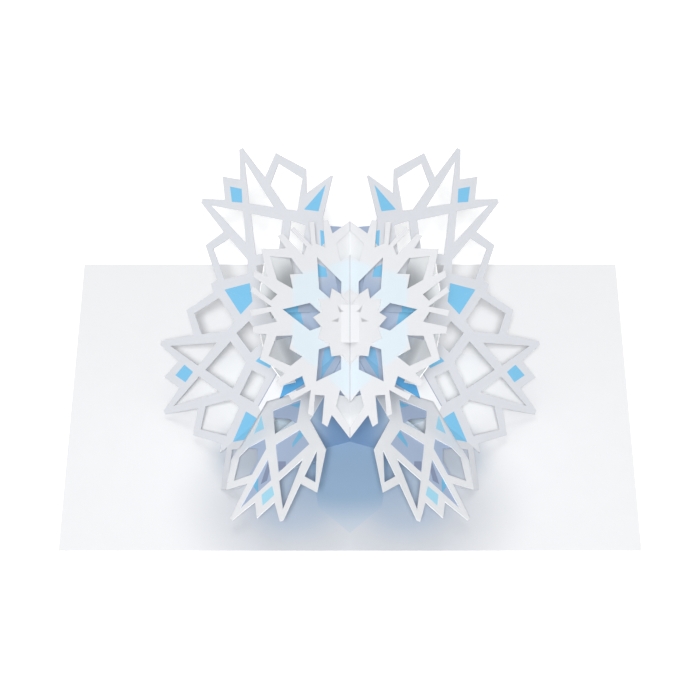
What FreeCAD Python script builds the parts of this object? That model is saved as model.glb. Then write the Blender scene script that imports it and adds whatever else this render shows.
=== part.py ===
import FreeCAD, Part
import math
import os
from FreeCAD import Vector

# Pop up card: a white card lying open, with a lattice snowflake of folded paper standing on it.
# Units are millimetres. X runs across the two leaves, Y runs along the spine from front to back,
# Z is up, and the origin is the middle of the card's underside.

os.makedirs("parts", exist_ok=True)
doc = FreeCAD.newDocument("PopUpCard")

# Driving dimensions
SIZES = {
    # the card
    "card_leaf_width": 127.0,
    "card_depth": 178.0,
    "board_thickness": 0.4,
    "score_width": 0.6,
    "score_depth": 0.12,
    # the paper of the snowflake, and the glue gap left between two sheets that touch
    "paper_thickness": 0.36,
    "glue_gap": 0.06,
    # the lattice sheets: where their six arms meet, their length and their folds
    "hub_setback": 25.0,
    "hub_height": 64.0,
    "hub_hole_radius": 7.0,
    "arm_reach": 102.5,
    "arm_half_angle": 28.0,
    "back_edge_turn": 16.5,
    "back_edge_rise": 36.0,
    "upper_crease_turn": 50.2,
    "upper_crease_rise": -10.7,
    "lower_crease_turn": 101.4,
    "lower_crease_rise": -44.6,
    # the front wings
    "front_hub_ahead_of_middle": -6.8,
    "front_hub_height": 43.1,
    "front_axis_turn": 155.9,
    "front_axis_rise": -15.8,
    "front_side_turn": 55.5,
    "front_side_rise": -32.6,
    "reading_rise": 46.0,
    # the centre flake and its star
    "flake_setback": 30.0,
    "flake_height": 78.9,
    "flake_tilt": 19.3,
    "flake_side_rise": 32.4,
    "flake_radius": 51.6,
    "star_radius": 18.6,
    "star_inner_radius": 14.6,
    "star_ridge_half_width": 4.6,
    "star_ridge_back": 9.5,
    "star_ridge_front": 8.5,
    "star_ridge_height": 2.4,
    # the straps that carry the flake
    "strap_window_margin": 0.6,
    "strap_flap_length": 2.6,
    "strap_flap_end_half_width": 1.0,
    "strap_top_half_width": 3.4,
    "strap_shoulder_half_width": 9.0,
    "strap_shoulder_radius": 41.0,
    "side_strap_shoulder_half_width": 13.0,
    "side_strap_knee_half_width": 12.0,
    "strap_knee_half_width": 8.0,
    "strap_knee_radius": 27.0,
    "strap_foot_radius": 26.0,
    "spine_leg_half_width": 4.5,
    "side_strap_depth": 16.0,
    "back_strap_depth": 7.0,
    "front_strap_depth": 14.0,
    # the webs that close the dome over the spine, and the two crossed ribs under it
    "back_web_rise": 27.0,
    "back_web_length": 54.0,
    "front_web_fall": 50.0,
    "front_web_length": 38.0,
    "front_web_side_length": 20.0,
    "rib_turn": 70.0,
    "rib_length": 36.0,
    "rib_slot_clearance": 0.14,
    "foot_length": 20.0,
    "foot_width": 7.0,
}

sheet = doc.addObject("Spreadsheet::Sheet", "Sizes")
for row, (alias, value) in enumerate(SIZES.items(), start=1):
    sheet.set("A%d" % row, alias)
    sheet.set("B%d" % row, str(value))
    sheet.setAlias("B%d" % row, alias)
doc.recompute()


def size(alias):
    return float(sheet.get(alias))


def radians(alias):
    return math.radians(size(alias))


paper = size("paper_thickness")
glue = size("glue_gap")
card_top = size("board_thickness")

# Lattice arm, drawn flat: distance from the hub along the arm, distance to one side.
# Every point is for an arm whose reach is DRAWN_REACH and is scaled to arm_reach.
DRAWN_REACH = 102.5
SQUARE_TIP = (102.5, 0.0)
SQUARE_NOTCH = (94.2, 6.3)
PRONG_TIP = [(103.9, 15.4), (103.2, 17.2)]
LOBE_ROOT = (84.6, 17.0)
LOBE_CORNER = (87.9, 29.0)
LOBE_END = (72.2, 34.9)
FREE_LOBE_END = (70.7, 36.1)
CREASE_BUMP_RADIUS = 83.0
SPIKE = [(63.0, 28.9), (58.9, 44.0), (58.0, 44.6), (49.1, 27.7)]
PRONG_WINDOW = [(98.2, 14.0), (71.8, 11.4), (83.0, 2.5)]
DIAMOND_WINDOW = [(79.1, 0.0), (64.2, 10.9), (56.4, 0.0), (64.2, -10.9)]
LOBE_WINDOW = [(69.2, 31.8), (83.5, 26.9), (80.1, 16.7), (66.0, 15.9), (61.4, 19.8)]
INNER_WINDOW = [(60.7, 14.1), (53.4, 4.0), (46.0, 8.2), (53.4, 18.5)]

# The lower sector is only its upper half, with a smaller lobe, cut off beside the strut of the prong.
LOWER_LOBE_CORNER = (86.3, 26.2)
LOWER_LOBE_END = (69.4, 36.9)
LOWER_HALF_EDGE = [(81.0, 16.5), (71.8, 11.4), (64.2, 10.9), (56.4, 0.0)]
LOWER_LOBE_WINDOW = [(69.0, 33.2), (82.0, 25.2), (78.3, 18.4), (66.0, 15.9), (61.4, 19.8)]

# The front wing has borders of its own.
WING_OUTER_SIDE = [(87.9, 29.0), (72.6, 35.4), (39.9, 31.1)]
WING_INNER_SIDE = [(30.0, -6.5), (51.3, -3.7), (66.9, -22.9), (89.1, -30.1)]
WING_OUTER_LOBE = [(70.6, 31.0), (83.5, 26.9), (80.1, 16.7), (66.5, 15.6), (61.0, 19.8), (65.7, 28.2)]
WING_INNER_LOBE = [(67.3, -17.5), (84.0, -26.3), (80.8, -17.3)]
WING_INNER_WINDOW = [(58.7, 14.6), (52.7, 3.8), (46.9, 5.9), (40.1, 8.6), (46.0, 23.5)]

# The lining is glued behind the wing and shows in its windows.
LINING = [(38.5, 7.0), (44.0, 25.5), (60.0, 31.0), (65.9, 28.8), (66.0, 22.2), (72.9, 18.0), (79.2, 18.8),
          (83.2, 16.0), (99.2, 14.8), (99.5, 12.5), (90.0, 5.5), (84.0, 0.5), (65.5, -12.5), (55.0, -3.5)]
LINING_WINDOW = [(49.5, 23.0), (50.4, 10.4), (53.5, 3.0), (61.0, 14.0), (55.0, 21.0)]

# Centre flake, drawn flat for a tip radius of DRAWN_FLAKE_RADIUS: distance along the arm, to its side.
DRAWN_FLAKE_RADIUS = 51.6
FLAKE_HALF_ARM = [(51.6, 0.0), (42.8, 9.1), (48.9, 11.3), (47.9, 13.9), (34.9, 12.7), (35.7, 17.6),
                  (45.7, 18.4), (45.3, 21.0)]
FLAKE_VALLEY_RADIUS = 39.2
FLAKE_KITE = [(46.8, 0.0), (38.5, 7.1), (30.4, 5.0), (35.0, 0.0), (30.4, -5.0), (38.5, -7.1)]
FLAKE_OPENING = [(34.0, 30.0), (21.3, 12.0), (15.4, 17.0), (15.4, 43.0), (21.3, 48.0)]
FLAKE_ARM_STEP = 60.0


def left_direction(turn, rise):
    # turn is measured from the back towards the left, rise is measured upwards
    return Vector(-math.sin(turn) * math.cos(rise), math.cos(turn) * math.cos(rise), math.sin(rise))


def flat_sheet(points, windows=()):
    # a piece of paper of even thickness, half of it on each side of its middle plane
    wires = [Part.makePolygon(list(ring) + [ring[0]]) for ring in [points, *windows]]
    face = Part.makeFace(Part.makeCompound(wires), "Part::FaceMakerBullseye")
    normal = face.normalAt(0, 0)
    face.translate(normal * (-paper / 2))
    return face.extrude(normal * paper)


def join(pieces):
    # one folded sheet from its flat parts
    return pieces[0].multiFuse(pieces[1:]).removeSplitter()


def mirrored(shape):
    return shape.mirror(Vector(0, 0, 0), Vector(1, 0, 0))


def below_plane(point, normal, gap):
    # a large block under a plane, used to end a sheet where it meets another
    reach = 4 * size("card_depth")
    up = normal if normal.z > 0 else -normal
    block = Part.makeBox(reach, reach, reach)
    corner = FreeCAD.Placement(Vector(-reach / 2, -reach / 2, -reach), FreeCAD.Rotation())
    place = FreeCAD.Placement(point + up * gap, FreeCAD.Rotation(Vector(0, 0, 1), up))
    block.Placement = place.multiply(corner)
    return block


def add_piece(label, shape):
    piece = doc.addObject("Part::Feature", label)
    piece.Label = label
    piece.Shape = shape
    piece.Placement = FreeCAD.Placement()
    return piece


# Base card: one folded board with a score line along the spine
card = doc.addObject("Part::Box", "CardBoard")
card.setExpression("Length", "2 * Sizes.card_leaf_width")
card.setExpression("Width", "Sizes.card_depth")
card.setExpression("Height", "Sizes.board_thickness")
card.setExpression("Placement.Base.x", "-Sizes.card_leaf_width")
card.setExpression("Placement.Base.y", "-Sizes.card_depth / 2")
score = doc.addObject("Part::Box", "ScoreLine")
score.setExpression("Length", "Sizes.score_width")
score.setExpression("Width", "Sizes.card_depth")
score.setExpression("Height", "Sizes.score_depth")
score.setExpression("Placement.Base.x", "-Sizes.score_width / 2")
score.setExpression("Placement.Base.y", "-Sizes.card_depth / 2")
score.setExpression("Placement.Base.z", "Sizes.board_thickness - Sizes.score_depth")
base_card = doc.addObject("Part::Cut", "BaseCard")
base_card.Base = card
base_card.Tool = score
base_card.Label = "base_card"

# Lattice sheets
hub = Vector(0, -size("hub_setback"), size("hub_height"))
half_angle = radians("arm_half_angle")
arm_scale = size("arm_reach") / DRAWN_REACH
back_edge = left_direction(radians("back_edge_turn"), radians("back_edge_rise"))
upper_crease = left_direction(radians("upper_crease_turn"), radians("upper_crease_rise"))
lower_crease = left_direction(radians("lower_crease_turn"), radians("lower_crease_rise"))


class Sector:
    """One flat arm of the lattice sheet, between two folds that run out from the hub."""

    def __init__(self, back_ray, front_ray):
        self.back_ray = back_ray
        self.front_ray = front_ray
        self.normal = front_ray.cross(back_ray)
        self.normal.normalize()
        if self.normal.z < 0:
            self.normal = -self.normal

    def at(self, along, side, lift=0.0):
        # side is positive towards the back ray
        shared = along / math.cos(half_angle)
        split = side / math.sin(half_angle)
        to_back = (shared + split) / 2 * arm_scale
        to_front = (shared - split) / 2 * arm_scale
        return hub + self.back_ray * to_back + self.front_ray * to_front + self.normal * lift

    def ring(self, points, side=1):
        return [self.at(along, side * across) for along, across in points]

    def on_crease(self, radius, side):
        return self.at(radius * math.cos(half_angle), side * radius * math.sin(half_angle))


def lowered_sector():
    # the third sector is folded down until the corner of its lobe rests on the card
    along, across = LOWER_LOBE_CORNER
    shared = along / math.cos(half_angle)
    split = across / math.sin(half_angle)
    to_back = (shared + split) / 2 * arm_scale
    to_front = (shared - split) / 2 * arm_scale
    step = 2 * half_angle
    outward = side_arm.normal.cross(lower_crease)
    if outward.dot(upper_crease) > 0:
        outward = -outward
    rest_height = card_top + paper / 2 + glue
    wanted = (rest_height - hub.z - lower_crease.z * to_back) / to_front
    wanted = (wanted - math.cos(step) * lower_crease.z) / math.sin(step)
    reach = math.hypot(outward.z, side_arm.normal.z)
    lean = math.atan2(side_arm.normal.z, outward.z)
    fold = lean - math.acos(max(-1.0, min(1.0, wanted / reach)))
    swung = outward * math.cos(fold) + side_arm.normal * math.sin(fold)
    free_edge = lower_crease * math.cos(step) + swung * math.sin(step)
    return Sector(lower_crease, free_edge)


upper_arm = Sector(back_edge, upper_crease)
side_arm = Sector(upper_crease, lower_crease)
lower_arm = lowered_sector()
hole = size("hub_hole_radius")


def arm_windows(arm, sides):
    windows = [arm.ring(DIAMOND_WINDOW)] if len(sides) == 2 else []
    for side in sides:
        for outline in (PRONG_WINDOW, LOBE_WINDOW, INNER_WINDOW):
            windows.append(arm.ring(outline, side))
    return windows


def side_outline(arm, side, ends_free):
    # outline of one half of an arm, from its tip round to the hub
    points = arm.ring([SQUARE_NOTCH, *PRONG_TIP, LOBE_ROOT, LOBE_CORNER], side)
    if ends_free:
        points += arm.ring([FREE_LOBE_END, *SPIKE], side)
    else:
        points += arm.ring([LOBE_END], side)
        points.append(arm.on_crease(CREASE_BUMP_RADIUS, side))
    points.append(arm.on_crease(hole / arm_scale, side))
    return points


def whole_arm(arm, back_is_free):
    back_half = side_outline(arm, 1, back_is_free)
    front_half = side_outline(arm, -1, False)
    outline = [arm.at(*SQUARE_TIP)] + back_half + front_half[::-1]
    return flat_sheet(outline, arm_windows(arm, (1, -1)))


def lower_half_arm(arm):
    outline = [arm.on_crease(hole / arm_scale, 1), arm.on_crease(CREASE_BUMP_RADIUS, 1)]
    outline += arm.ring([LOWER_LOBE_END, LOWER_LOBE_CORNER] + LOWER_HALF_EDGE)
    outline.append(arm.at(hole / arm_scale * math.cos(half_angle), 0))
    windows = [arm.ring(LOWER_LOBE_WINDOW), arm.ring(INNER_WINDOW)]
    return flat_sheet(outline, windows)


# Front wings
wing_hub = Vector(0, -size("front_hub_ahead_of_middle"), size("front_hub_height"))
wing_axis = left_direction(radians("front_axis_turn"), radians("front_axis_rise"))
wing_side = left_direction(radians("front_side_turn"), radians("front_side_rise"))
wing_side = wing_side - wing_axis * wing_side.dot(wing_axis)
wing_side.normalize()
wing_normal = wing_axis.cross(wing_side)
if wing_normal.z < 0:
    wing_normal = -wing_normal


def on_wing(points, side=1, drop=0.0):
    start = wing_hub - wing_normal * drop
    return [start + (wing_axis * along + wing_side * (side * across)) * arm_scale
            for along, across in points]


wing_outline = on_wing([SQUARE_TIP, SQUARE_NOTCH, *PRONG_TIP, LOBE_ROOT, *WING_OUTER_SIDE])
wing_outline += on_wing(WING_INNER_SIDE)
wing_outline += on_wing([LOBE_ROOT], -1) + on_wing(PRONG_TIP[::-1], -1) + on_wing([SQUARE_NOTCH], -1)
wing_windows = [on_wing(DIAMOND_WINDOW), on_wing(PRONG_WINDOW), on_wing(PRONG_WINDOW, -1),
                on_wing(WING_OUTER_LOBE), on_wing(WING_INNER_LOBE), on_wing(WING_INNER_WINDOW)]
wing = flat_sheet(wing_outline, wing_windows)
add_piece("front_wing_left", wing)
add_piece("front_wing_right", mirrored(wing))
sheet_step = paper + glue
lining = flat_sheet(on_wing(LINING, drop=sheet_step), [on_wing(LINING_WINDOW, drop=sheet_step)])
add_piece("wing_lining_left", lining)
add_piece("wing_lining_right", mirrored(lining))

# The lattice sheet is cut back where it would hide the front wing from a reader at the front edge
reading_way = Vector(0, -math.cos(radians("reading_rise")), math.sin(radians("reading_rise")))
wing_face = Part.Face(Part.makePolygon(wing_outline + [wing_outline[0]])).makeOffset2D(glue)
wing_face.translate(wing_normal * -(paper / 2 + glue + sheet_step))
wing_shadow = wing_face.extrude(reading_way * size("card_depth"))
wing_space = wing_face.extrude(wing_normal * (2 * sheet_step + glue))
lattice = join([whole_arm(upper_arm, True), whole_arm(side_arm, False), lower_half_arm(lower_arm)])
card_block = below_plane(Vector(0, 0, card_top), Vector(0, 0, 1), glue)
lattice = lattice.cut(card_block).cut(wing_shadow).cut(wing_space)
add_piece("lattice_sheet_left", lattice)
add_piece("lattice_sheet_right", mirrored(lattice))

# Centre flake
flake_centre = Vector(0, -size("flake_setback"), size("flake_height"))
tilt = radians("flake_tilt")
side_rise = radians("flake_side_rise")
flake_spine = Vector(0, math.cos(tilt), math.sin(tilt))
flake_up = Vector(0, -math.sin(tilt), math.cos(tilt))
flake_left = Vector(-math.cos(side_rise), 0, 0) + flake_up * math.sin(side_rise)
flake_normal = flake_spine.cross(flake_left) * -1
if flake_normal.z < 0:
    flake_normal = flake_normal * -1
flake_scale = size("flake_radius") / DRAWN_FLAKE_RADIUS


def on_flake(along, side, heading, drop=0.0, down=None):
    # heading turns from the back towards the left, and the point lies on the left half
    spine_way = along * math.cos(heading) - side * math.sin(heading)
    left_way = along * math.sin(heading) + side * math.cos(heading)
    down = flake_normal if down is None else down
    place = flake_centre + (flake_spine * spine_way + flake_left * left_way) * flake_scale
    return place - down * drop


def polar(radius, angle):
    return radius * math.cos(math.radians(angle)), radius * math.sin(math.radians(angle))


def half_flake_outline():
    # from the back tip round the left side to the front tip
    points = []
    for arm in range(4):
        heading = math.radians(arm * FLAKE_ARM_STEP)
        if arm > 0:
            points += [on_flake(along, -side, heading) for along, side in FLAKE_HALF_ARM[:0:-1]]
        points.append(on_flake(*FLAKE_HALF_ARM[0], heading))
        if arm < 3:
            points += [on_flake(along, side, heading) for along, side in FLAKE_HALF_ARM[1:]]
            points.append(on_flake(*polar(FLAKE_VALLEY_RADIUS, FLAKE_ARM_STEP / 2), heading))
    return points


def half_flake_windows():
    windows = []
    for gap in range(3):
        heading = math.radians(gap * FLAKE_ARM_STEP)
        windows.append([on_flake(*polar(radius, angle), heading) for radius, angle in FLAKE_OPENING])
    for arm in (1, 2):
        heading = math.radians(arm * FLAKE_ARM_STEP)
        windows.append([on_flake(along, side, heading) for along, side in FLAKE_KITE])
    return windows


def half_kite_cutter(heading):
    # the kite windows on the spine are cut as half of each, to the spine
    half = [(along, side) for along, side in FLAKE_KITE if side >= 0]
    sign = 1 if heading == 0 else -1
    ring = [on_flake(along, sign * side, heading) for along, side in half]
    return ring


def cut_windows(piece, rings):
    for ring in rings:
        face = Part.Face(Part.makePolygon(ring + [ring[0]]))
        normal = face.normalAt(0, 0)
        depth = paper * 4
        face.translate(normal * (-depth))
        piece = piece.cut(face.extrude(normal * (2 * depth)))
    return piece


half_flake = flat_sheet(half_flake_outline(), half_flake_windows())
flake = join([half_flake, mirrored(half_flake)])
spine_windows = [half_kite_cutter(0.0), half_kite_cutter(math.pi)]
flake = cut_windows(flake, spine_windows)
flake = mirrored(cut_windows(mirrored(flake), spine_windows))
add_piece("centre_flake", flake)

# Centre star, glued on the middle of the flake
star_lift = sheet_step / math.cos(side_rise)


def on_star(radius, angle):
    return on_flake(radius / flake_scale, 0, math.radians(angle), -star_lift, flake_up)


star_points = 12
star_step = 360.0 / star_points


def half_star_outline():
    # twelve points, the first of them on the spine at the back
    outer = size("star_radius")
    inner = size("star_inner_radius")
    points = []
    for index in range(star_points // 2 + 1):
        points.append(on_star(outer, index * star_step))
        if index < star_points // 2:
            points.append(on_star(inner, (index + 0.5) * star_step))
    return points


ridge_half = size("star_ridge_half_width")
ridge_back = size("star_ridge_back")
ridge_front = size("star_ridge_front")


def star_place(along, side, lift=0.0):
    place = flake_centre + flake_spine * along + flake_left * side
    return place + flake_up * (star_lift + lift)


half_star = flat_sheet(half_star_outline())
star = join([half_star, mirrored(half_star)])
ridge_hole = [star_place(ridge_back, 0), star_place(ridge_back + ridge_half, ridge_half),
              star_place(-ridge_front, ridge_half), star_place(-ridge_front, 0)]
star = cut_windows(star, [ridge_hole])
star = mirrored(cut_windows(mirrored(star), [ridge_hole]))
ridge_lift = size("star_ridge_height")
ridge_side = [star_place(ridge_back, 0, ridge_lift), star_place(ridge_back, ridge_half),
              star_place(-ridge_front, ridge_half), star_place(-ridge_front, 0, ridge_lift)]
ridge = flat_sheet(ridge_side)
star = join([star, ridge, mirrored(ridge)])
add_piece("centre_star", star)

# Straps under the six kite windows
flap = size("strap_flap_length")
flap_end_half = size("strap_flap_end_half_width")
strap_top = FLAKE_KITE[0][0] + size("strap_window_margin")
strap_knee = size("strap_knee_radius")
strap_foot = size("strap_foot_radius")
top_half = size("strap_top_half_width")
knee_half = size("strap_knee_half_width")
shoulder = size("strap_shoulder_radius")
shoulder_half = size("strap_shoulder_half_width")
wide_shoulder_half = size("side_strap_shoulder_half_width")
wide_knee_half = size("side_strap_knee_half_width")
spine_leg_half = size("spine_leg_half_width")
flap_drop = sheet_step
LEG_OVERRUN = 1.25   # each leg is drawn a little too long, then ended on the sheet it is glued to


def shoulder_depth(top_depth, knee_depth):
    # depth of the slope at its widest place
    return top_depth + (knee_depth - top_depth) * (strap_top - shoulder) / (strap_top - strap_knee)


def side_strap(heading, depth, target, arm):
    middle_depth = shoulder_depth(flap_drop, depth)
    slope = [on_flake(strap_top, -top_half, heading, flap_drop),
             on_flake(strap_top, top_half, heading, flap_drop),
             on_flake(shoulder, wide_shoulder_half, heading, middle_depth),
             on_flake(strap_knee, wide_knee_half, heading, depth),
             on_flake(strap_knee, -wide_knee_half, heading, depth),
             on_flake(shoulder, -wide_shoulder_half, heading, middle_depth)]
    cover = [slope[1], slope[0],
             on_flake(strap_top + flap, -flap_end_half, heading, flap_drop),
             on_flake(strap_top + flap, flap_end_half, heading, flap_drop)]
    leg_top = [on_flake(strap_knee, -knee_half, heading, depth), on_flake(strap_knee, knee_half, heading, depth)]
    fall = (target - (leg_top[0] + leg_top[1]) * 0.5) * LEG_OVERRUN
    leg = [leg_top[0], leg_top[1], leg_top[1] + fall, leg_top[0] + fall]
    strap = join([flat_sheet(cover), flat_sheet(slope), flat_sheet(leg)])
    return strap.cut(below_plane(hub, arm.normal, paper / 2 + glue))


back_web_way = left_direction(0.0, radians("back_web_rise"))
front_web_way = left_direction(math.pi, -radians("front_web_fall"))
web_drop = 2 * sheet_step
web_hub = hub - Vector(0, 0, web_drop)


def web_normal(way, edge):
    normal = way.cross(edge)
    normal.normalize()
    return normal


def spine_strap(heading, depth, way, edge):
    # drawn as its left half, which ends on the left side of the web
    sign = 1 if heading == 0 else -1
    flap_depth = flap_drop / math.cos(side_rise)
    middle_depth = shoulder_depth(flap_depth, depth)
    slope = [on_flake(strap_top, 0, heading, flap_depth, flake_up),
             on_flake(strap_top, sign * top_half, heading, flap_depth, flake_up),
             on_flake(shoulder, sign * shoulder_half, heading, middle_depth, flake_up),
             on_flake(strap_knee, sign * knee_half, heading, depth, flake_up),
             on_flake(strap_knee, 0, heading, depth, flake_up)]
    cover = [slope[1], slope[0],
             on_flake(strap_top + flap, 0, heading, flap_depth, flake_up),
             on_flake(strap_top + flap, sign * flap_end_half, heading, flap_depth, flake_up)]
    knee = on_flake(strap_knee, sign * spine_leg_half, heading, depth, flake_up)
    fall = (web_hub + way * strap_foot * arm_scale - slope[4]) * LEG_OVERRUN
    leg = [slope[4], knee, knee + fall, slope[4] + fall]
    half = join([flat_sheet(cover), flat_sheet(slope), flat_sheet(leg)])
    half = half.cut(below_plane(web_hub, web_normal(way, edge), paper / 2 + glue))
    return join([half, mirrored(half)])


left_half_turn = math.radians(FLAKE_ARM_STEP)
strap_depth = size("side_strap_depth")
upper_strap = side_strap(left_half_turn, strap_depth, upper_arm.at(strap_foot, 0), upper_arm)
lower_strap = side_strap(2 * left_half_turn, strap_depth, side_arm.at(strap_foot, 0), side_arm)
add_piece("strap_back_left", upper_strap)
add_piece("strap_back_right", mirrored(upper_strap))
add_piece("strap_front_left", lower_strap)
add_piece("strap_front_right", mirrored(lower_strap))

# Webs over the spine
front_edge = lower_arm.at(1.0, 0) - hub
front_edge.normalize()


def web(way, edge, length, side_length):
    side = [web_hub + way * hole, web_hub + way * length * arm_scale,
            web_hub + edge * side_length * arm_scale, web_hub + edge * hole]
    facet = flat_sheet(side)
    return join([facet, mirrored(facet)])


back_web = web(back_web_way, back_edge, size("back_web_length"), size("back_web_length"))
front_web = web(front_web_way, front_edge, size("front_web_length"), size("front_web_side_length"))
add_piece("back_web", back_web)
add_piece("front_web", front_web)

back_strap = spine_strap(0.0, size("back_strap_depth"), back_web_way, back_edge)
front_strap = spine_strap(math.pi, size("front_strap_depth"), front_web_way, front_edge)
add_piece("strap_spine_back", back_strap)
add_piece("strap_spine_front", front_strap)

# Crossed ribs: the back ends reach up to the lattice sheets, the front ends carry the wings
rib_way = left_direction(radians("rib_turn"), 0.0)
rib_length = size("rib_length") * arm_scale
foot_z = card_top + glue


def under_plane(way, distance, point, normal):
    # height of the underside of a flat sheet at a place on the rib, taken on the left of the spine
    left_way = Vector(-abs(way.x), way.y, 0)
    place = left_way * distance + Vector(0, hub.y, 0) - point
    lean = abs(normal.x * left_way.y - normal.y * left_way.x)
    clearance = paper / 2 * (1 + lean) + glue
    return point.z - (normal.x * place.x + normal.y * place.y + clearance) / normal.z


def rib_top(way, distance):
    if way.y < 0:
        under_wing = under_plane(way, distance, wing_hub - wing_normal * sheet_step, wing_normal)
        return min(under_wing, under_plane(way, distance, hub, lower_arm.normal))
    return under_plane(way, distance, hub, side_arm.normal)


def on_rib(way, distance, height):
    return Vector(way.x * distance, hub.y + way.y * distance, height)


def foot(way, side_way):
    # a tab folded from the lower edge and glued flat on the card
    near = rib_length - size("foot_length") * arm_scale
    width = side_way * size("foot_width")
    start = on_rib(way, near, foot_z + paper / 2)
    end = on_rib(way, rib_length, foot_z + paper / 2)
    return flat_sheet([start, end, end + width, start + width])


def rib(way, slot_from_top):
    core_top = min(rib_top(way, hole), under_plane(-way, hole, hub, lower_arm.normal))
    points = [on_rib(way, rib_length, foot_z), on_rib(way, rib_length, rib_top(way, rib_length)),
              on_rib(way, hole, core_top), on_rib(-way, hole, core_top), on_rib(-way, hole, rib_top(-way, hole)),
              on_rib(-way, rib_length, rib_top(-way, rib_length)), on_rib(-way, rib_length, foot_z)]
    side_way = Vector(-way.y, way.x, 0)
    tabs = [foot(way, side_way), foot(-way, -side_way)]
    crossing = Vector(-way.x, way.y, 0)
    clearance = size("rib_slot_clearance")
    across = Vector(-crossing.y, crossing.x, 0) * (paper / 2 + clearance)
    low = core_top / 2 - clearance if slot_from_top else 0.0
    centre = Vector(0, hub.y, low)
    corners = [centre + crossing * hole + across, centre - crossing * hole + across,
               centre - crossing * hole - across, centre + crossing * hole - across]
    slot = Part.Face(Part.makePolygon(corners + [corners[0]])).extrude(Vector(0, 0, core_top / 2 + clearance))
    return join([flat_sheet(points), *tabs]).cut(slot)


add_piece("rib_left_back", rib(rib_way, True))
add_piece("rib_right_back", rib(Vector(-rib_way.x, rib_way.y, 0), False))

doc.recompute()

# Every object has to be sound before anything is written
for item in doc.Objects:
    if "Invalid" in item.State or "Error" in item.State:
        raise RuntimeError("%s failed" % item.Label)

skip = {"CardBoard", "ScoreLine", "Sizes"}
for item in doc.Objects:
    if item.Name in skip:
        continue
    shape = item.Shape
    if shape.isNull() or not shape.isValid():
        raise RuntimeError("%s has no sound shape" % item.Label)
    shape.exportStep(os.path.join("parts", item.Label + ".step"))
    box = shape.BoundBox
    print("%-20s solids %d volume %9.2f  x %7.1f %7.1f  y %7.1f %7.1f  z %6.1f %6.1f" % (
        item.Label, len(shape.Solids), shape.Volume,
        box.XMin, box.XMax, box.YMin, box.YMax, box.ZMin, box.ZMax))
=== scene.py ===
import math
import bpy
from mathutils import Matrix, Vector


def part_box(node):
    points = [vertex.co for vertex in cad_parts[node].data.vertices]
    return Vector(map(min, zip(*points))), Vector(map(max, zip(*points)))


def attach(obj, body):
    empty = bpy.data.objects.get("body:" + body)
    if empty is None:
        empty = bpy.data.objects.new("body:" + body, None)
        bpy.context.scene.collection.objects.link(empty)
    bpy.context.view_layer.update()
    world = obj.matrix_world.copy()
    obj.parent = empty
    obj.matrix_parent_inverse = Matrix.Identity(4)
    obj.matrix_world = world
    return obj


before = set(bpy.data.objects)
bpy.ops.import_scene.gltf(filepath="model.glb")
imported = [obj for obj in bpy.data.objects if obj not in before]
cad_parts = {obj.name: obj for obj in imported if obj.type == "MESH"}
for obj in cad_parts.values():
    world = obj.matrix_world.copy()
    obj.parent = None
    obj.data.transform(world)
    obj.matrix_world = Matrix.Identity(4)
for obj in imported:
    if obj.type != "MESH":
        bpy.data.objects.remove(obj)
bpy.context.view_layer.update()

# %% [markdown]
# # Pop up card with a lattice snowflake
# The real object is a white card lying open, with a snowflake of cut and folded paper that stands up
# on its fold. The folded sheets already have their shapes in the loaded frame, so this lesson dresses
# them: each sheet gets the colour, print and fibre of its paper, with painted light and shade on many of
# them, and the card gets the soft snowflake that is printed on it. Everything is in metres, X across the
# leaves, Y along the fold, Z up.

MM = 0.001

# %% [markdown]
# The folds and centres of the sheets are known sizes of the card. They are repeated here, because the
# printed fields have to lie on the folded faces. A direction is given by two angles: a turn from the
# back edge of the card towards the left, and a rise above the horizontal.

# %% Where the sheets fold
def left_direction(turn, rise):
    turn, rise = math.radians(turn), math.radians(rise)
    return Vector((-math.sin(turn) * math.cos(rise), math.cos(turn) * math.cos(rise), math.sin(rise)))


LATTICE_HUB = Vector((0, -25.0, 64.0)) * MM
BACK_EDGE = left_direction(16.5, 36.0)
UPPER_CREASE = left_direction(50.2, -10.7)
LOWER_CREASE = left_direction(101.4, -44.6)
ARM_HALF_ANGLE = math.radians(28.0)
WING_HUB = Vector((0, 6.8, 43.1)) * MM
WING_AXIS = left_direction(155.9, -15.8)
WING_SIDE = left_direction(55.5, -32.6)
WING_SIDE = (WING_SIDE - WING_AXIS * WING_SIDE.dot(WING_AXIS)).normalized()
FLAKE_CENTRE = Vector((0, -30.0, 78.9)) * MM
FLAKE_TILT = math.radians(19.3)
FLAKE_SIDE_RISE = math.radians(32.4)
FLAKE_SPINE = Vector((0, math.cos(FLAKE_TILT), math.sin(FLAKE_TILT)))
FLAKE_UP = Vector((0, -math.sin(FLAKE_TILT), math.cos(FLAKE_TILT)))
FLAKE_LEFT = Vector((-math.cos(FLAKE_SIDE_RISE), 0, 0)) + FLAKE_UP * math.sin(FLAKE_SIDE_RISE)
print("left half of the flake rises along", [round(v, 3) for v in FLAKE_LEFT])


# %% [markdown]
# Three small functions turn a place drawn on the flat paper into a place in space. An arm of the
# lattice is drawn as a distance from the hub along the arm and a distance to one side of it. Three more
# do the same for all corners of a printed field.

# %% From the flat drawing to the folded sheet
def on_arm(arm, along, side):
    back_ray, front_ray = arm
    shared = along / math.cos(ARM_HALF_ANGLE)
    split = side / math.sin(ARM_HALF_ANGLE)
    return LATTICE_HUB + (back_ray * (shared + split) + front_ray * (shared - split)) * (MM / 2)


def on_wing(along, side):
    return WING_HUB + (WING_AXIS * along + WING_SIDE * side) * MM


def on_flake(along, side, heading=0.0):
    spine_way = along * math.cos(heading) - side * math.sin(heading)
    left_way = along * math.sin(heading) + side * math.cos(heading)
    return FLAKE_CENTRE + (FLAKE_SPINE * spine_way + FLAKE_LEFT * left_way) * MM


def arm_field(arm, drawing):
    return [on_arm(arm, *corner) for corner in drawing]


def wing_field(drawing):
    return [on_wing(*corner) for corner in drawing]


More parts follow.
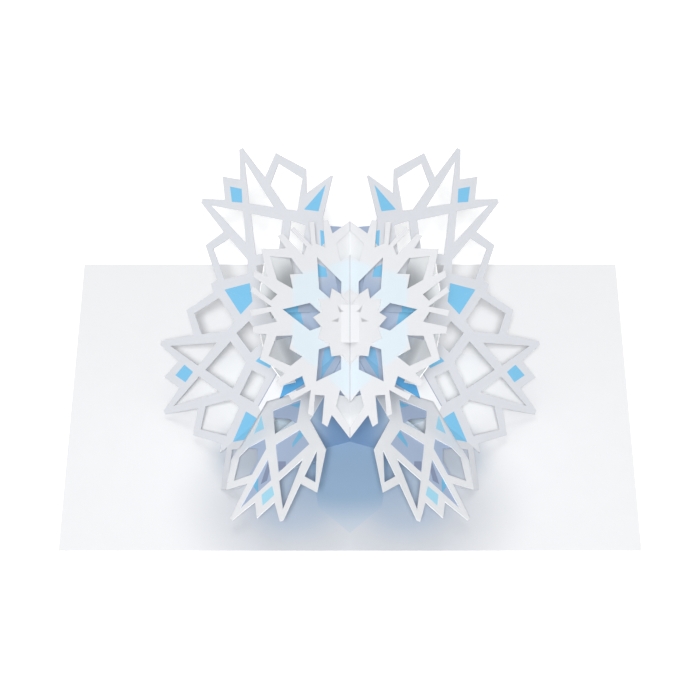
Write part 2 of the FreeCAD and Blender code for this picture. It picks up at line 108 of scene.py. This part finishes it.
def flake_field(drawing, heading=0.0):
    return [on_flake(*corner, heading) for corner in drawing]


# the third arm folds down to the card; its free ray is a full arm's angle from the lower crease
LOWER_FREE_RAY = Vector((-0.170, -0.876, -0.452)).normalized()
UPPER_ARM = (BACK_EDGE, UPPER_CREASE)
SIDE_ARM = (UPPER_CREASE, LOWER_CREASE)
LOWER_ARM = (LOWER_CREASE, LOWER_FREE_RAY)
ARM_REACH = 102.5
print("tip of the upper arm in mm:", [round(v / MM, 1) for v in on_arm(UPPER_ARM, ARM_REACH, 0)])

# %% [markdown]
# ## Paper
# Card and paper are matt, with short fibres that show as faint clouds and a very fine tooth. A shader
# built from noise at two scales gives both: the clouds shift the colour a little, and the tooth drives
# a bump. The colours are printed fields and painted shade on the same paper, so a field only replaces
# the colour and keeps the fibre. The drawing is mirrored in the fold of the card, so every field is
# tested with the distance from the fold, and one material serves the left and the right sheet.

# %% Paper shader
CLOUD_SCALE = 90.0
CLOUD_DETAIL = 3.0
TOOTH_SCALE = 2600.0
TOOTH_DETAIL = 2.0
TOOTH_DEPTH = 0.2 * MM
PAPER_SHEEN = 0.25


class Paper:
    def __init__(self, name, colour, cloud=0.03, tooth=0.05, roughness=0.86):
        self.material = bpy.data.materials.new(name)
        self.material.use_nodes = True
        self.nodes = self.material.node_tree.nodes
        self.links = self.material.node_tree.links
        self.shader = self.nodes["Principled BSDF"]
        self.shader.inputs["Roughness"].default_value = roughness
        self.shader.inputs["Specular IOR Level"].default_value = PAPER_SHEEN
        self.place = self.nodes.new("ShaderNodeTexCoord").outputs["Object"]
        apart = self.node("ShaderNodeSeparateXYZ", self.place)
        from_fold = self.math("ABSOLUTE", apart.outputs[0])
        joined = self.node("ShaderNodeCombineXYZ", from_fold, apart.outputs[1], apart.outputs[2])
        self.mirrored = joined.outputs[0]
        clouds = self.noise(CLOUD_SCALE, CLOUD_DETAIL)
        self.colour = self.mix(clouds, colour, [c * (1 - 2 * cloud) for c in colour])
        self.tooth = tooth

    def node(self, kind, *sources):
        node = self.nodes.new(kind)
        for index, source in enumerate(sources):
            if isinstance(source, bpy.types.NodeSocket):
                self.links.new(source, node.inputs[index])
            else:
                node.inputs[index].default_value = source
        return node

    def math(self, operation, a, b=0.0):
        node = self.node("ShaderNodeMath", a, b)
        node.operation = operation
        return node.outputs[0]

    def noise(self, scale, detail):
        node = self.nodes.new("ShaderNodeTexNoise")
        self.links.new(self.place, node.inputs["Vector"])
        node.inputs["Scale"].default_value = scale
        node.inputs["Detail"].default_value = detail
        return node.outputs["Fac"]

    def mix(self, factor, low, high):
        node = self.nodes.new("ShaderNodeMix")
        node.data_type = "RGBA"
        for socket, value in ((node.inputs[0], factor), (node.inputs[6], low), (node.inputs[7], high)):
            if isinstance(value, bpy.types.NodeSocket):
                self.links.new(value, socket)
            else:
                socket.default_value = value if isinstance(value, float) else (*value, 1.0)
        return node.outputs[2]

    def measure(self, operation, other):
        node = self.node("ShaderNodeVectorMath", self.mirrored, other)
        node.operation = operation
        return node.outputs["Value"]

    def dot(self, direction):
        return self.measure("DOT_PRODUCT", direction)

    def distance_from(self, point):
        return self.measure("DISTANCE", point)

    def ramp(self, value, start, end):
        node = self.nodes.new("ShaderNodeMapRange")
        node.interpolation_type = "SMOOTHSTEP"
        self.links.new(value, node.inputs["Value"])
        node.inputs["From Min"].default_value = start
        node.inputs["From Max"].default_value = end
        return node.outputs["Result"]

    def field_mask(self, corners, soft=0.0):
        """1 inside a convex field that lies on one face, and 0 outside it."""
        corners = [Vector((abs(c.x), c.y, c.z)) for c in corners]
        middle = sum(corners, Vector()) / len(corners)
        normal = (corners[1] - corners[0]).cross(corners[2] - corners[1]).normalized()
        mask = None
        for first, second in zip(corners, corners[1:] + corners[:1]):
            inward = normal.cross(second - first).normalized()
            if inward.dot(middle - first) < 0:
                inward = -inward
            limit = inward.dot(first)
            reach = self.dot(inward)
            if soft:
                part = self.ramp(reach, limit - soft, limit + soft)
            else:
                part = self.math("GREATER_THAN", reach, limit)
            mask = part if mask is None else self.math("MULTIPLY", mask, part)
        return mask

    # lays a printed field or a field of painted shade
    def print_and_shade_field(self, corners, colour, soft=0.0):
        self.colour = self.mix(self.field_mask(corners, soft), self.colour, colour)

    def tint(self, strength, colour):
        self.colour = self.mix(strength, self.colour, colour)

    def finish(self):
        self.links.new(self.colour, self.shader.inputs["Base Color"])
        bump = self.nodes.new("ShaderNodeBump")
        bump.inputs["Strength"].default_value = self.tooth
        bump.inputs["Distance"].default_value = TOOTH_DEPTH
        self.links.new(self.noise(TOOTH_SCALE, TOOTH_DETAIL), bump.inputs["Height"])
        self.links.new(bump.outputs["Normal"], self.shader.inputs["Normal"])
        return self.material


def dress(material, *nodes):
    for name in nodes:
        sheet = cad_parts[name]
        sheet.data.materials.clear()
        sheet.data.materials.append(material)
    print(material.name, "on", len(nodes), "sheets")


print("paper clouds", round(1 / CLOUD_SCALE / MM, 1), "mm and tooth", round(1 / TOOTH_SCALE / MM, 2), "mm")

# %% [markdown]
# ## The lattice sheets
# Each side sheet is white paper painted a pale grey, a painted shade for the steep sheets that face away
# from the light, and it is printed with sky blue. A kite lies across each fold, a small square sits in
# each tip, and the spike at the back has a triangle. More kites lie near the hub, where they show in the
# openings of the centre flake. The fields are drawn in arm distances, so the two halves of a kite meet
# exactly on the fold. Towards the hub the paper is tinted a soft periwinkle, partly blue print and partly
# painted shade under the flake. In front, a whiter field marks where the next sheet is glued on. Beside it
# a thin dark line is the painted shadow of that sheet's edge, and a deep blue field is blue print with
# the painted shadow of the flake on it.

# %% Lattice paper and its print
SKY_BLUE = (0.19, 0.49, 0.73)
# sky blue print darkened by the painted shadow of the flake
BLUE_IN_PAINTED_SHADOW = (0.10, 0.36, 0.67)
PALE_SKY = (0.40, 0.74, 0.91)
HUB_BLUE = (0.20, 0.43, 0.65)
HALF_KITE = [(65.9, 35.0), (57.7, 22.2), (50.8, 27.0)]
TIP_SQUARE = [(96.2, 0.0), (90.6, 4.1), (86.0, 0.0), (90.6, -4.1)]
SPIKE_FIELD = [(58.1, 39.1), (59.0, 22.9), (52.7, 28.1)]
AXIS_KITE = [(37.3, 0.9), (42.8, 4.6), (51.0, -0.3), (43.5, -4.6)]
HUB_FIELDS = [(UPPER_ARM, [(37.2, -19.0), (31.7, -8.6), (23.2, -13.1)], SKY_BLUE),
              (UPPER_ARM, [(38.8, 10.6), (33.8, 6.4), (28.9, 11.5), (32.3, 13.6)], SKY_BLUE),
              (UPPER_ARM, [(29.8, 2.3), (21.6, 5.2), (26.5, 4.6)], SKY_BLUE),
              (UPPER_ARM, [(46.3, 23.0), (43.0, 25.2), (40.5, 22.7), (40.7, 18.1)], SKY_BLUE),
              (SIDE_ARM, [(13.4, -0.5), (9.6, -0.2), (7.8, -4.9), (15.4, -14.0), (15.5, -7.3)], HUB_BLUE),
              (SIDE_ARM, AXIS_KITE, SKY_BLUE)]
SEAM_FIELD = [(39.0, -6.4), (50.8, -20.8), (47.0, -30.0), (25.0, -22.0)]
SEAM_BLUE = [(39.1, -19.1), (36.5, -13.6), (24.3, -10.5), (23.5, -14.1)]
SEAM_LINE = ((38.0, -5.5), (50.8, -20.8))
# painted shadow of the wing's edge on the lattice
SEAM_EDGE_SHADOW = (0.36, 0.39, 0.50)
SEAM_HALF_WIDTH = 0.25
SEAM_WHITE = (0.80, 0.81, 0.83)
# painted shade: the white lattice paper is made grey, and bluer and darker towards the hub
LATTICE_SHADED_WHITE = (0.645, 0.66, 0.695)
HUB_BLUE_AND_SHADE = (0.38, 0.46, 0.60)
HUB_FADE = (46 * MM, 24 * MM)


def line_corners(start, end, half_width):
    way = Vector(end) - Vector(start)
    across = Vector((-way.y, way.x)).normalized() * half_width
    return [Vector(start) + across, Vector(end) + across, Vector(end) - across, Vector(start) - across]


lattice_paper = Paper("lattice_paper", LATTICE_SHADED_WHITE)
lattice_paper.tint(lattice_paper.ramp(lattice_paper.distance_from(LATTICE_HUB), *HUB_FADE), HUB_BLUE_AND_SHADE)
for arm, field, ink in HUB_FIELDS:
    lattice_paper.print_and_shade_field(arm_field(arm, field), ink)
lattice_paper.print_and_shade_field(arm_field(SIDE_ARM, SEAM_FIELD), SEAM_WHITE)
lattice_paper.print_and_shade_field(arm_field(SIDE_ARM, SEAM_BLUE), BLUE_IN_PAINTED_SHADOW)
seam = line_corners(*SEAM_LINE, SEAM_HALF_WIDTH)
lattice_paper.print_and_shade_field(arm_field(SIDE_ARM, seam), SEAM_EDGE_SHADOW)
for arm, sides in ((UPPER_ARM, [-1]), (SIDE_ARM, [1, -1]), (LOWER_ARM, [1])):
    for side in sides:
        kite = arm_field(arm, [(along, side * across) for along, across in HALF_KITE])
        lattice_paper.print_and_shade_field(kite, SKY_BLUE)
for arm in (UPPER_ARM, SIDE_ARM):
    lattice_paper.print_and_shade_field(arm_field(arm, TIP_SQUARE), SKY_BLUE)
lattice_paper.print_and_shade_field(arm_field(UPPER_ARM, SPIKE_FIELD), SKY_BLUE)
dress(lattice_paper.finish(), "lattice_sheet_left", "lattice_sheet_right")

# %% [markdown]
# ## The front wings
# The two front wings are white paper without the painted shade of the lattice, so they look whiter.
# Each has half a kite and a tip square in a paler blue, and one deep blue field at its root, beside the
# seam on the lattice, which is blue print in the painted shadow of the flake. The fields are drawn like
# those of a lattice arm, so the tip square is the same drawing.

# %% Wing paper and its print
WING_KITE = [(48.4, 29.7), (55.7, 23.5), (58.5, 28.5)]
WING_ROOT_BLUE = [(39.7, 22.7), (32.6, 24.3), (26.9, 13.1), (31.4, 9.2)]
WING_WHITE = (0.86, 0.87, 0.89)
wing_paper = Paper("wing_paper", WING_WHITE)
for field, ink in ((WING_KITE, PALE_SKY), (TIP_SQUARE, PALE_SKY), (WING_ROOT_BLUE, BLUE_IN_PAINTED_SHADOW)):
    wing_paper.print_and_shade_field(wing_field(field), ink)
dress(wing_paper.finish(), "front_wing_left", "front_wing_right")

# %% [markdown]
# Behind each wing is a lining of paper, painted lavender grey as painted shade, because it lies in the
# shade under the wing. From the front it only shows in the wing's windows, where it has a few blue
# fields of print and some darker painted shadows.

# %% Lining of the wings
LINING_BLUES = [[(63.5, 0.6), (56.9, -0.2), (58.8, -4.2), (65.8, -0.6)],
                [(80.2, 12.9), (85.5, 13.3), (89.6, 7.3)],
                [(43.2, 14.0), (41.2, 7.5), (44.5, 8.0)]]
LINING_SHADES = [[(72.9, 4.2), (72.9, -0.6), (76.0, -2.5), (78.1, 1.1)],
                 [(72.0, 11.0), (72.0, 8.5), (83.0, 5.5), (85.0, 8.5)]]
# painted shade: the lining's grey and its darker painted shadows
LINING_SHADED_GREY = (0.42, 0.51, 0.68)
LINING_SHADOW_DARK = (0.26, 0.31, 0.45)
lining_paper = Paper("lining_paper", LINING_SHADED_GREY)
for fields, ink in ((LINING_BLUES, SKY_BLUE), (LINING_SHADES, LINING_SHADOW_DARK)):
    for field in fields:
        lining_paper.print_and_shade_field(wing_field(field), ink)
dress(lining_paper.finish(), "wing_lining_left", "wing_lining_right")

# %% [markdown]
# ## The centre flake and its star
# The flake is nearly white. A light blue haze with a soft edge is printed on the root of each of its six
# arms. The arms on the fold get half a field, because the other half comes from the mirrored drawing.
# The star on top is painted a little greyer than the flake, a painted shade that tones down its ridge
# where it faces the lamp, and it has small painted shades where its points are slit. Both sheets have a
# fine grey line of painted shade in the crease of the fold.

# %% Flake paper with its blue haze
FLAKE_WHITE = (0.73, 0.735, 0.755)
# painted shade: the star paper is a little greyer than the flake's
STAR_SHADED_WHITE = (0.71, 0.715, 0.73)
HAZE_BLUE = (0.67, 0.75, 0.80)
FROM_FOLD = (1, 0, 0)
# painted shade along the crease of the fold
FOLD_CREASE_SHADE = (0.46, 0.48, 0.53)
FOLD_HALF_WIDTH = 0.16 * MM
STAR_SLITS = [[(8.6, 6.7), (6.2, 4.0), (5.6, 5.7)], [(0.4, 9.6), (2.9, 6.0), (0.8, 6.4)]]
SLIT_SHADE = (0.42, 0.42, 0.44)
SLIT_SOFTNESS = 0.4 * MM
ROOT_FIELD = [(16.0, -9.0), (16.0, 9.0), (27.0, 11.0), (33.0, 2.0), (33.0, -2.0), (27.0, -11.0)]
HALF_ROOT_FIELD = [(16.0, 0.0), (16.0, 9.0), (27.0, 11.0), (33.0, 0.0)]
HAZE_SOFTNESS = 1.8 * MM
FLAKE_ARM_ANGLE = math.radians(60.0)
flake_paper = Paper("flake_paper", FLAKE_WHITE, cloud=0.015)
for arm_number in (1, 2):
    flake_paper.print_and_shade_field(flake_field(ROOT_FIELD, FLAKE_ARM_ANGLE * arm_number), HAZE_BLUE, HAZE_SOFTNESS)
for arm_number, towards_left in ((0, 1), (3, -1)):
    half_field = [(along, side * towards_left) for along, side in HALF_ROOT_FIELD]
    flake_paper.print_and_shade_field(flake_field(half_field, FLAKE_ARM_ANGLE * arm_number), HAZE_BLUE, HAZE_SOFTNESS)
star_paper = Paper("star_paper", STAR_SHADED_WHITE, cloud=0.015, tooth=0.04)
for slit in STAR_SLITS:
    star_paper.print_and_shade_field(flake_field(slit), SLIT_SHADE, SLIT_SOFTNESS)
for sheet_paper in (flake_paper, star_paper):
    fold = sheet_paper.math("LESS_THAN", sheet_paper.dot(FROM_FOLD), FOLD_HALF_WIDTH)
    sheet_paper.tint(fold, FOLD_CREASE_SHADE)
dress(flake_paper.finish(), "centre_flake")
dress(star_paper.finish(), "centre_star")

# %% [markdown]
# ## Straps, webs and ribs
# Behind each kite window of the flake a strap bends away into the shade. Its white paper carries a
# painted shade that deepens towards the centre. The two straps at the fold change least from end to end,
# and the back one is painted darker than the front one, as painted shade. The legs of the back straps are
# coloured like the lattice they stand on, with its blue print and painted shade, so they are found by
# their depth below the flake and recoloured.

# %% Strap paper
LEG_DEPTH = 16.3 * MM
LEG_BLUE_FROM = 22.5 * MM
LEG_GREY = (0.43, 0.50, 0.62)


# painted shade: the strap gets darker towards the flake's centre
def shaded_strap_material(name, light, dark, start, end):
    paper = Paper(name, light, cloud=0.02)
    outward = paper.ramp(paper.distance_from(FLAKE_CENTRE), start * MM, end * MM)
    paper.colour = paper.mix(outward, dark, paper.colour)
    return paper


front_strap = shaded_strap_material("front_strap_paper", (0.97, 0.975, 0.97), (0.58, 0.59, 0.59), 27, 33)
dress(front_strap.finish(), "strap_front_left", "strap_front_right")
back_strap = shaded_strap_material("back_strap_paper", (0.96, 0.965, 0.96), (0.44, 0.45, 0.45), 34, 42)
across = Vector((-FLAKE_LEFT.x, FLAKE_LEFT.y, FLAKE_LEFT.z))
below = FLAKE_SPINE.cross(across).normalized()
below = -below if below.z > 0 else below
leg = back_strap.math("GREATER_THAN", back_strap.dot(below), below.dot(FLAKE_CENTRE) + LEG_DEPTH)
far_side = back_strap.math("GREATER_THAN", back_strap.dot(FROM_FOLD), LEG_BLUE_FROM)
back_strap.tint(leg, back_strap.mix(far_side, LEG_GREY, SKY_BLUE))
dress(back_strap.finish(), "strap_back_left", "strap_back_right")
# painted shade: the back strap at the fold is made darker than the front one
top_strap = shaded_strap_material("top_strap_paper", (0.74, 0.75, 0.76), (0.56, 0.57, 0.58), 29, 37)
dress(top_strap.finish(), "strap_spine_back")
low_strap = shaded_strap_material("low_strap_paper", (0.96, 0.965, 0.97), (0.90, 0.905, 0.91), 29, 37)
dress(low_strap.finish(), "strap_spine_front")

# %% [markdown]
# The webs over the fold are a periwinkle, partly blue paper and partly painted shade, because they stand
# in the hollow under the flake. The ribs below are a blue grey that turns to deep blue at the fold, so
# the blue of the card's print and its painted shade carry on below the flake.

# %% Web and rib paper
# painted shade in the hollow under the flake, over blue paper
WEB_BLUE_IN_SHADE = (0.38, 0.46, 0.61)
RIB_GREY = (0.56, 0.65, 0.72)
RIB_BLUE_AND_SHADE = (0.20, 0.32, 0.50)
RIB_FADE = (26 * MM, 6 * MM)
web_paper = Paper("web_paper", WEB_BLUE_IN_SHADE)
dress(web_paper.finish(), "back_web", "front_web")
rib_paper = Paper("rib_paper", RIB_GREY)
rib_paper.tint(rib_paper.ramp(rib_paper.dot(FROM_FOLD), *RIB_FADE), RIB_BLUE_AND_SHADE)
dress(rib_paper.finish(), "rib_left_back", "rib_right_back")

# %% [markdown]
# ## The card
# The base is a smooth white card. Beside the flake it is painted a little whiter, a painted light where
# the side arms shade it. Around the foot of the snowflake it is tinted: a round blue lies on the fold and
# fades outwards, partly the card's blue print and partly painted shade, and a fainter blue grey painted
# shadow lies under each wing, with two darker cores of painted shadow, beside the lower lobe of the
# lattice and under the wing. Each tint is a centre on the card, the distances where it starts and where
# it is full, and its colour.

# %% Card board
CARD_WHITE = (0.86, 0.862, 0.873)
CARD_FINISH = {"cloud": 0.01, "tooth": 0.02, "roughness": 0.7}
# partly blue print and partly painted shade on the fold
FOLD_BLUE_AND_SHADE = (0.32, 0.45, 0.59)
FOLD_TINT_WITH_SHADE = ((0, -30, 0), 48, 12, FOLD_BLUE_AND_SHADE)
# painted light beside the flake, then painted shadows under the wing and beside the lobe
CARD_LIGHT_AND_SHADOWS = [((42, 4, 0), 34, 14, (0.94, 0.945, 0.95)),
              ((26, -62, 0), 60, 22, (0.66, 0.675, 0.705)),
              ((42, -34, 0), 26, 8, (0.54, 0.59, 0.66)),
              ((24, -62, 0), 26, 8, (0.50, 0.57, 0.66))]


def tint_card(paper, tints):
    for centre, edge, core, colour in tints:
        paper.tint(paper.ramp(paper.distance_from(Vector(centre) * MM), edge * MM, core * MM), colour)


card_board = Paper("card_board", CARD_WHITE, **CARD_FINISH)
tint_card(card_board, CARD_LIGHT_AND_SHADOWS + [FOLD_TINT_WITH_SHADE])
dress(card_board.finish(), "base_card")

# %% [markdown]
# The printed snowflake on the card has six equal arms. The two that lie on the fold are blue at their
# roots, and the other four fade into the card. One arm is a thin flat shape that is just as wide at its
# shoulder as its share of the circle, so the arms meet and don't overlap. Geometry Nodes turn copies of
# it round a centre, so that the number of arms and the size of the print stay named inputs. The tree
# ends in real mesh with its material, because instances wouldn't be kept.

# %% Snowflake print on the card
PRINT_LIFT = 0.02 * MM
PRINT_CENTRE = Vector((0, -8, 0)) * MM
ARM_COUNT = 6
SHOULDER = 30 * MM
SHOULDER_HALF_WIDTH = SHOULDER * math.tan(math.pi / ARM_COUNT)
ARM_SHAPE = [(0.0, 0.0), (SHOULDER, SHOULDER_HALF_WIDTH), (56 * MM, 14 * MM), (71 * MM, 0.0),
             (56 * MM, -14 * MM), (SHOULDER, -SHOULDER_HALF_WIDTH)]


def arm_plate():
    facing_up = list(range(len(ARM_SHAPE)))[::-1]
    mesh = bpy.data.meshes.new("print_arm")
    mesh.from_pydata([(along, side, 0) for along, side in ARM_SHAPE], [], [facing_up])
    return bpy.data.objects.new("print_arm", mesh)


def snowflake_tree(material):
    tree = bpy.data.node_groups.new("SnowflakePrint", "GeometryNodeTree")
    tree.is_modifier = True
    sockets = tree.interface
    sockets.new_socket("Geometry", in_out="OUTPUT", socket_type="NodeSocketGeometry")
    sockets.new_socket("Geometry", in_out="INPUT", socket_type="NodeSocketGeometry")
    for name, kind, value in (("Arm Count", "NodeSocketInt", ARM_COUNT), ("Size", "NodeSocketFloat", 1.0),
                              ("First Turn", "NodeSocketFloat", -math.pi / 2)):
        sockets.new_socket(name, in_out="INPUT", socket_type=kind).default_value = value
    entry, leave = tree.nodes.new("NodeGroupInput"), tree.nodes.new("NodeGroupOutput")
    points = tree.nodes.new("GeometryNodePoints")
    place = tree.nodes.new("GeometryNodeInstanceOnPoints")
    index = tree.nodes.new("GeometryNodeInputIndex")
    step = tree.nodes.new("ShaderNodeMath")
    step.operation = "DIVIDE"
    step.inputs[0].default_value = 2 * math.pi
    turn = tree.nodes.new("ShaderNodeMath")
    turn.operation = "MULTIPLY_ADD"
    spin = tree.nodes.new("ShaderNodeCombineXYZ")
    realize = tree.nodes.new("GeometryNodeRealizeInstances")
    paint = tree.nodes.new("GeometryNodeSetMaterial")
    paint.inputs["Material"].default_value = material
    join = tree.links.new
    join(entry.outputs["Arm Count"], points.inputs["Count"])
    join(entry.outputs["Arm Count"], step.inputs[1])
    join(index.outputs[0], turn.inputs[0])
    join(step.outputs[0], turn.inputs[1])
    join(entry.outputs["First Turn"], turn.inputs[2])
    join(turn.outputs[0], spin.inputs[2])
    join(points.outputs[0], place.inputs["Points"])
    join(entry.outputs["Geometry"], place.inputs["Instance"])
    join(spin.outputs[0], place.inputs["Rotation"])
    join(entry.outputs["Size"], place.inputs["Scale"])
    join(place.outputs[0], realize.inputs[0])
    join(realize.outputs[0], paint.inputs["Geometry"])
    join(paint.outputs[0], leave.inputs[0])
    return tree


print("one arm of the print reaches", round(ARM_SHAPE[3][0] / MM, 1), "mm")

# %% [markdown]
# The ink is made like the card, with the same painted light and shadows but a shade darker, and near the
# fold it takes the blue of the arms' roots with its painted shade. The finished print lies a hair above
# the card, because two faces in one plane would flicker.

# %% Ink and mesh of the print
INK_WHITE = (0.83, 0.845, 0.865)
FOLD_ARM_GREY = (0.62, 0.67, 0.73)
FOLD_ARM_FADE = (40 * MM, 16 * MM)
ROOT_CENTRE = Vector((0, -10, 0)) * MM
ROOT_FADE = (70 * MM, 46 * MM)
print_ink = Paper("print_ink", INK_WHITE, **CARD_FINISH)
tint_card(print_ink, CARD_LIGHT_AND_SHADOWS)
on_fold = print_ink.ramp(print_ink.dot(FROM_FOLD), *FOLD_ARM_FADE)
print_ink.tint(on_fold, FOLD_ARM_GREY)
near_root = print_ink.ramp(print_ink.distance_from(ROOT_CENTRE), *ROOT_FADE)
print_ink.tint(print_ink.math("MULTIPLY", near_root, on_fold), FOLD_BLUE_AND_SHADE)
plate = arm_plate()
bpy.context.scene.collection.objects.link(plate)
maker = plate.modifiers.new("SnowflakePrint", "NODES")
maker.node_group = snowflake_tree(print_ink.finish())
evaluated = plate.evaluated_get(bpy.context.evaluated_depsgraph_get())
print_mesh = bpy.data.meshes.new_from_object(evaluated)
plate.modifiers.clear()
bpy.data.objects.remove(plate)
card_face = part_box("base_card")[1].z
for vertex in print_mesh.vertices:
    vertex.co += PRINT_CENTRE + Vector((0, 0, card_face + PRINT_LIFT))
snowflake_print = bpy.data.objects.new("snowflake_print", print_mesh)
bpy.context.scene.collection.objects.link(snowflake_print)
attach(snowflake_print, "root")
print("snowflake print:", len(print_mesh.polygons), "faces")

# %% [markdown]
# ## Floor, light and camera
# The photograph is lit from all round by white light. The shadows fall softly forwards, and the card
# stays white behind the windows of the lattice. The floor is white, and it is shown a little brighter to
# the camera only, so it stays white and still keeps the object's shadow. It lies just under the card.

# %% Floor
FLOOR_HALF = 3.0
FLOOR_DROP = 0.3 * MM
FLOOR_LIFT = 0.32
FLOOR_WHITE = (0.92, 0.92, 0.92, 1)
FLOOR_ROUGHNESS = 0.9
floor_material = bpy.data.materials.new("floor")
floor_material.use_nodes = True
floor_nodes, floor_links = floor_material.node_tree.nodes, floor_material.node_tree.links
floor_shader = floor_nodes["Principled BSDF"]
floor_shader.inputs["Base Color"].default_value = FLOOR_WHITE
floor_shader.inputs["Roughness"].default_value = FLOOR_ROUGHNESS
floor_shader.inputs["Emission Color"].default_value = (1, 1, 1, 1)
camera_ray = floor_nodes.new("ShaderNodeLightPath")
lift = floor_nodes.new("ShaderNodeMath")
lift.operation = "MULTIPLY"
lift.inputs[1].default_value = FLOOR_LIFT
floor_links.new(camera_ray.outputs["Is Camera Ray"], lift.inputs[0])
floor_links.new(lift.outputs[0], floor_shader.inputs["Emission Strength"])
floor_mesh = bpy.data.meshes.new("floor")
floor_mesh.from_pydata([(-FLOOR_HALF, -FLOOR_HALF, 0), (FLOOR_HALF, -FLOOR_HALF, 0),
                        (FLOOR_HALF, FLOOR_HALF, 0), (-FLOOR_HALF, FLOOR_HALF, 0)], [], [(0, 1, 2, 3)])
floor_mesh.materials.append(floor_material)
floor = bpy.data.objects.new("floor", floor_mesh)
floor.location.z = -FLOOR_DROP
bpy.context.scene.collection.objects.link(floor)
print("floor", 2 * FLOOR_HALF, "m wide,", round(FLOOR_DROP / MM, 1), "mm under the card")

# %% [markdown]
# A far lamp behind the camera shines through the windows of the lattice, and most shadows that it makes
# hide behind the paper. A wide lamp over the back gives the soft shadows. An even white world fills the
# rest, and it is dimmer for light than for the camera, because a bright one would wash out the folds.

# %% World and lamps
ROOM_COLOUR = (0.96, 0.98, 1.0, 1)
ROOM_LIGHT = 0.30
world = bpy.data.worlds.new("white_room")
bpy.context.scene.world = world
world.use_nodes = True
world_nodes, world_links = world.node_tree.nodes, world.node_tree.links
sky = world_nodes["Background"]
sky.inputs["Color"].default_value = ROOM_COLOUR
sky_ray = world_nodes.new("ShaderNodeLightPath")
sky_level = world_nodes.new("ShaderNodeMapRange")
sky_level.inputs["To Min"].default_value = ROOM_LIGHT
sky_level.inputs["To Max"].default_value = 1.0
world_links.new(sky_ray.outputs["Is Camera Ray"], sky_level.inputs["Value"])
world_links.new(sky_level.outputs["Result"], sky.inputs["Strength"])


def lamp(name, place, target, width, power):
    light = bpy.data.lights.new(name, "AREA")
    light.size = width
    light.energy = power
    holder = bpy.data.objects.new(name, light)
    holder.location = place
    holder.rotation_euler = (Vector(target) - Vector(place)).to_track_quat("-Z", "Y").to_euler()
    bpy.context.scene.collection.objects.link(holder)
    print(name, "at", place, "with", power, "W")


lamp("soft_top", (-0.1, 0.45, 1.3), (0, 0, 0.05), 0.9, 3.4)
lamp("soft_front", (-0.05, -2.75, 2.95), (0, 0, 0.03), 0.45, 136.0)

# %% [markdown]
# The camera stands in front of the card and looks down at 46 degrees. Its distance and lens come from
# the way the card's edges close up in the photograph.

# %% Camera
ELEVATION = math.radians(46.087)
DISTANCE = 1.32239
UP_SHIFT = 0.023456
FOCAL_PIXELS = 2893.56
PICTURE_PIXELS = 700
SENSOR_WIDTH = 36.0
look = Vector((0, math.cos(ELEVATION), -math.sin(ELEVATION)))
up = Vector((0, math.sin(ELEVATION), math.cos(ELEVATION)))
camera = bpy.data.cameras.new("camera")
camera.sensor_width = SENSOR_WIDTH
camera.lens = FOCAL_PIXELS / PICTURE_PIXELS * SENSOR_WIDTH
camera.clip_start, camera.clip_end = 0.05, 20.0
camera_holder = bpy.data.objects.new("camera", camera)
camera_holder.location = -look * DISTANCE + up * UP_SHIFT
camera_holder.rotation_euler = look.to_track_quat("-Z", "Y").to_euler()
bpy.context.scene.collection.objects.link(camera_holder)
bpy.context.scene.camera = camera_holder
bpy.context.scene.view_settings.view_transform = "Standard"
print("lens", round(camera.lens, 2), "mm")
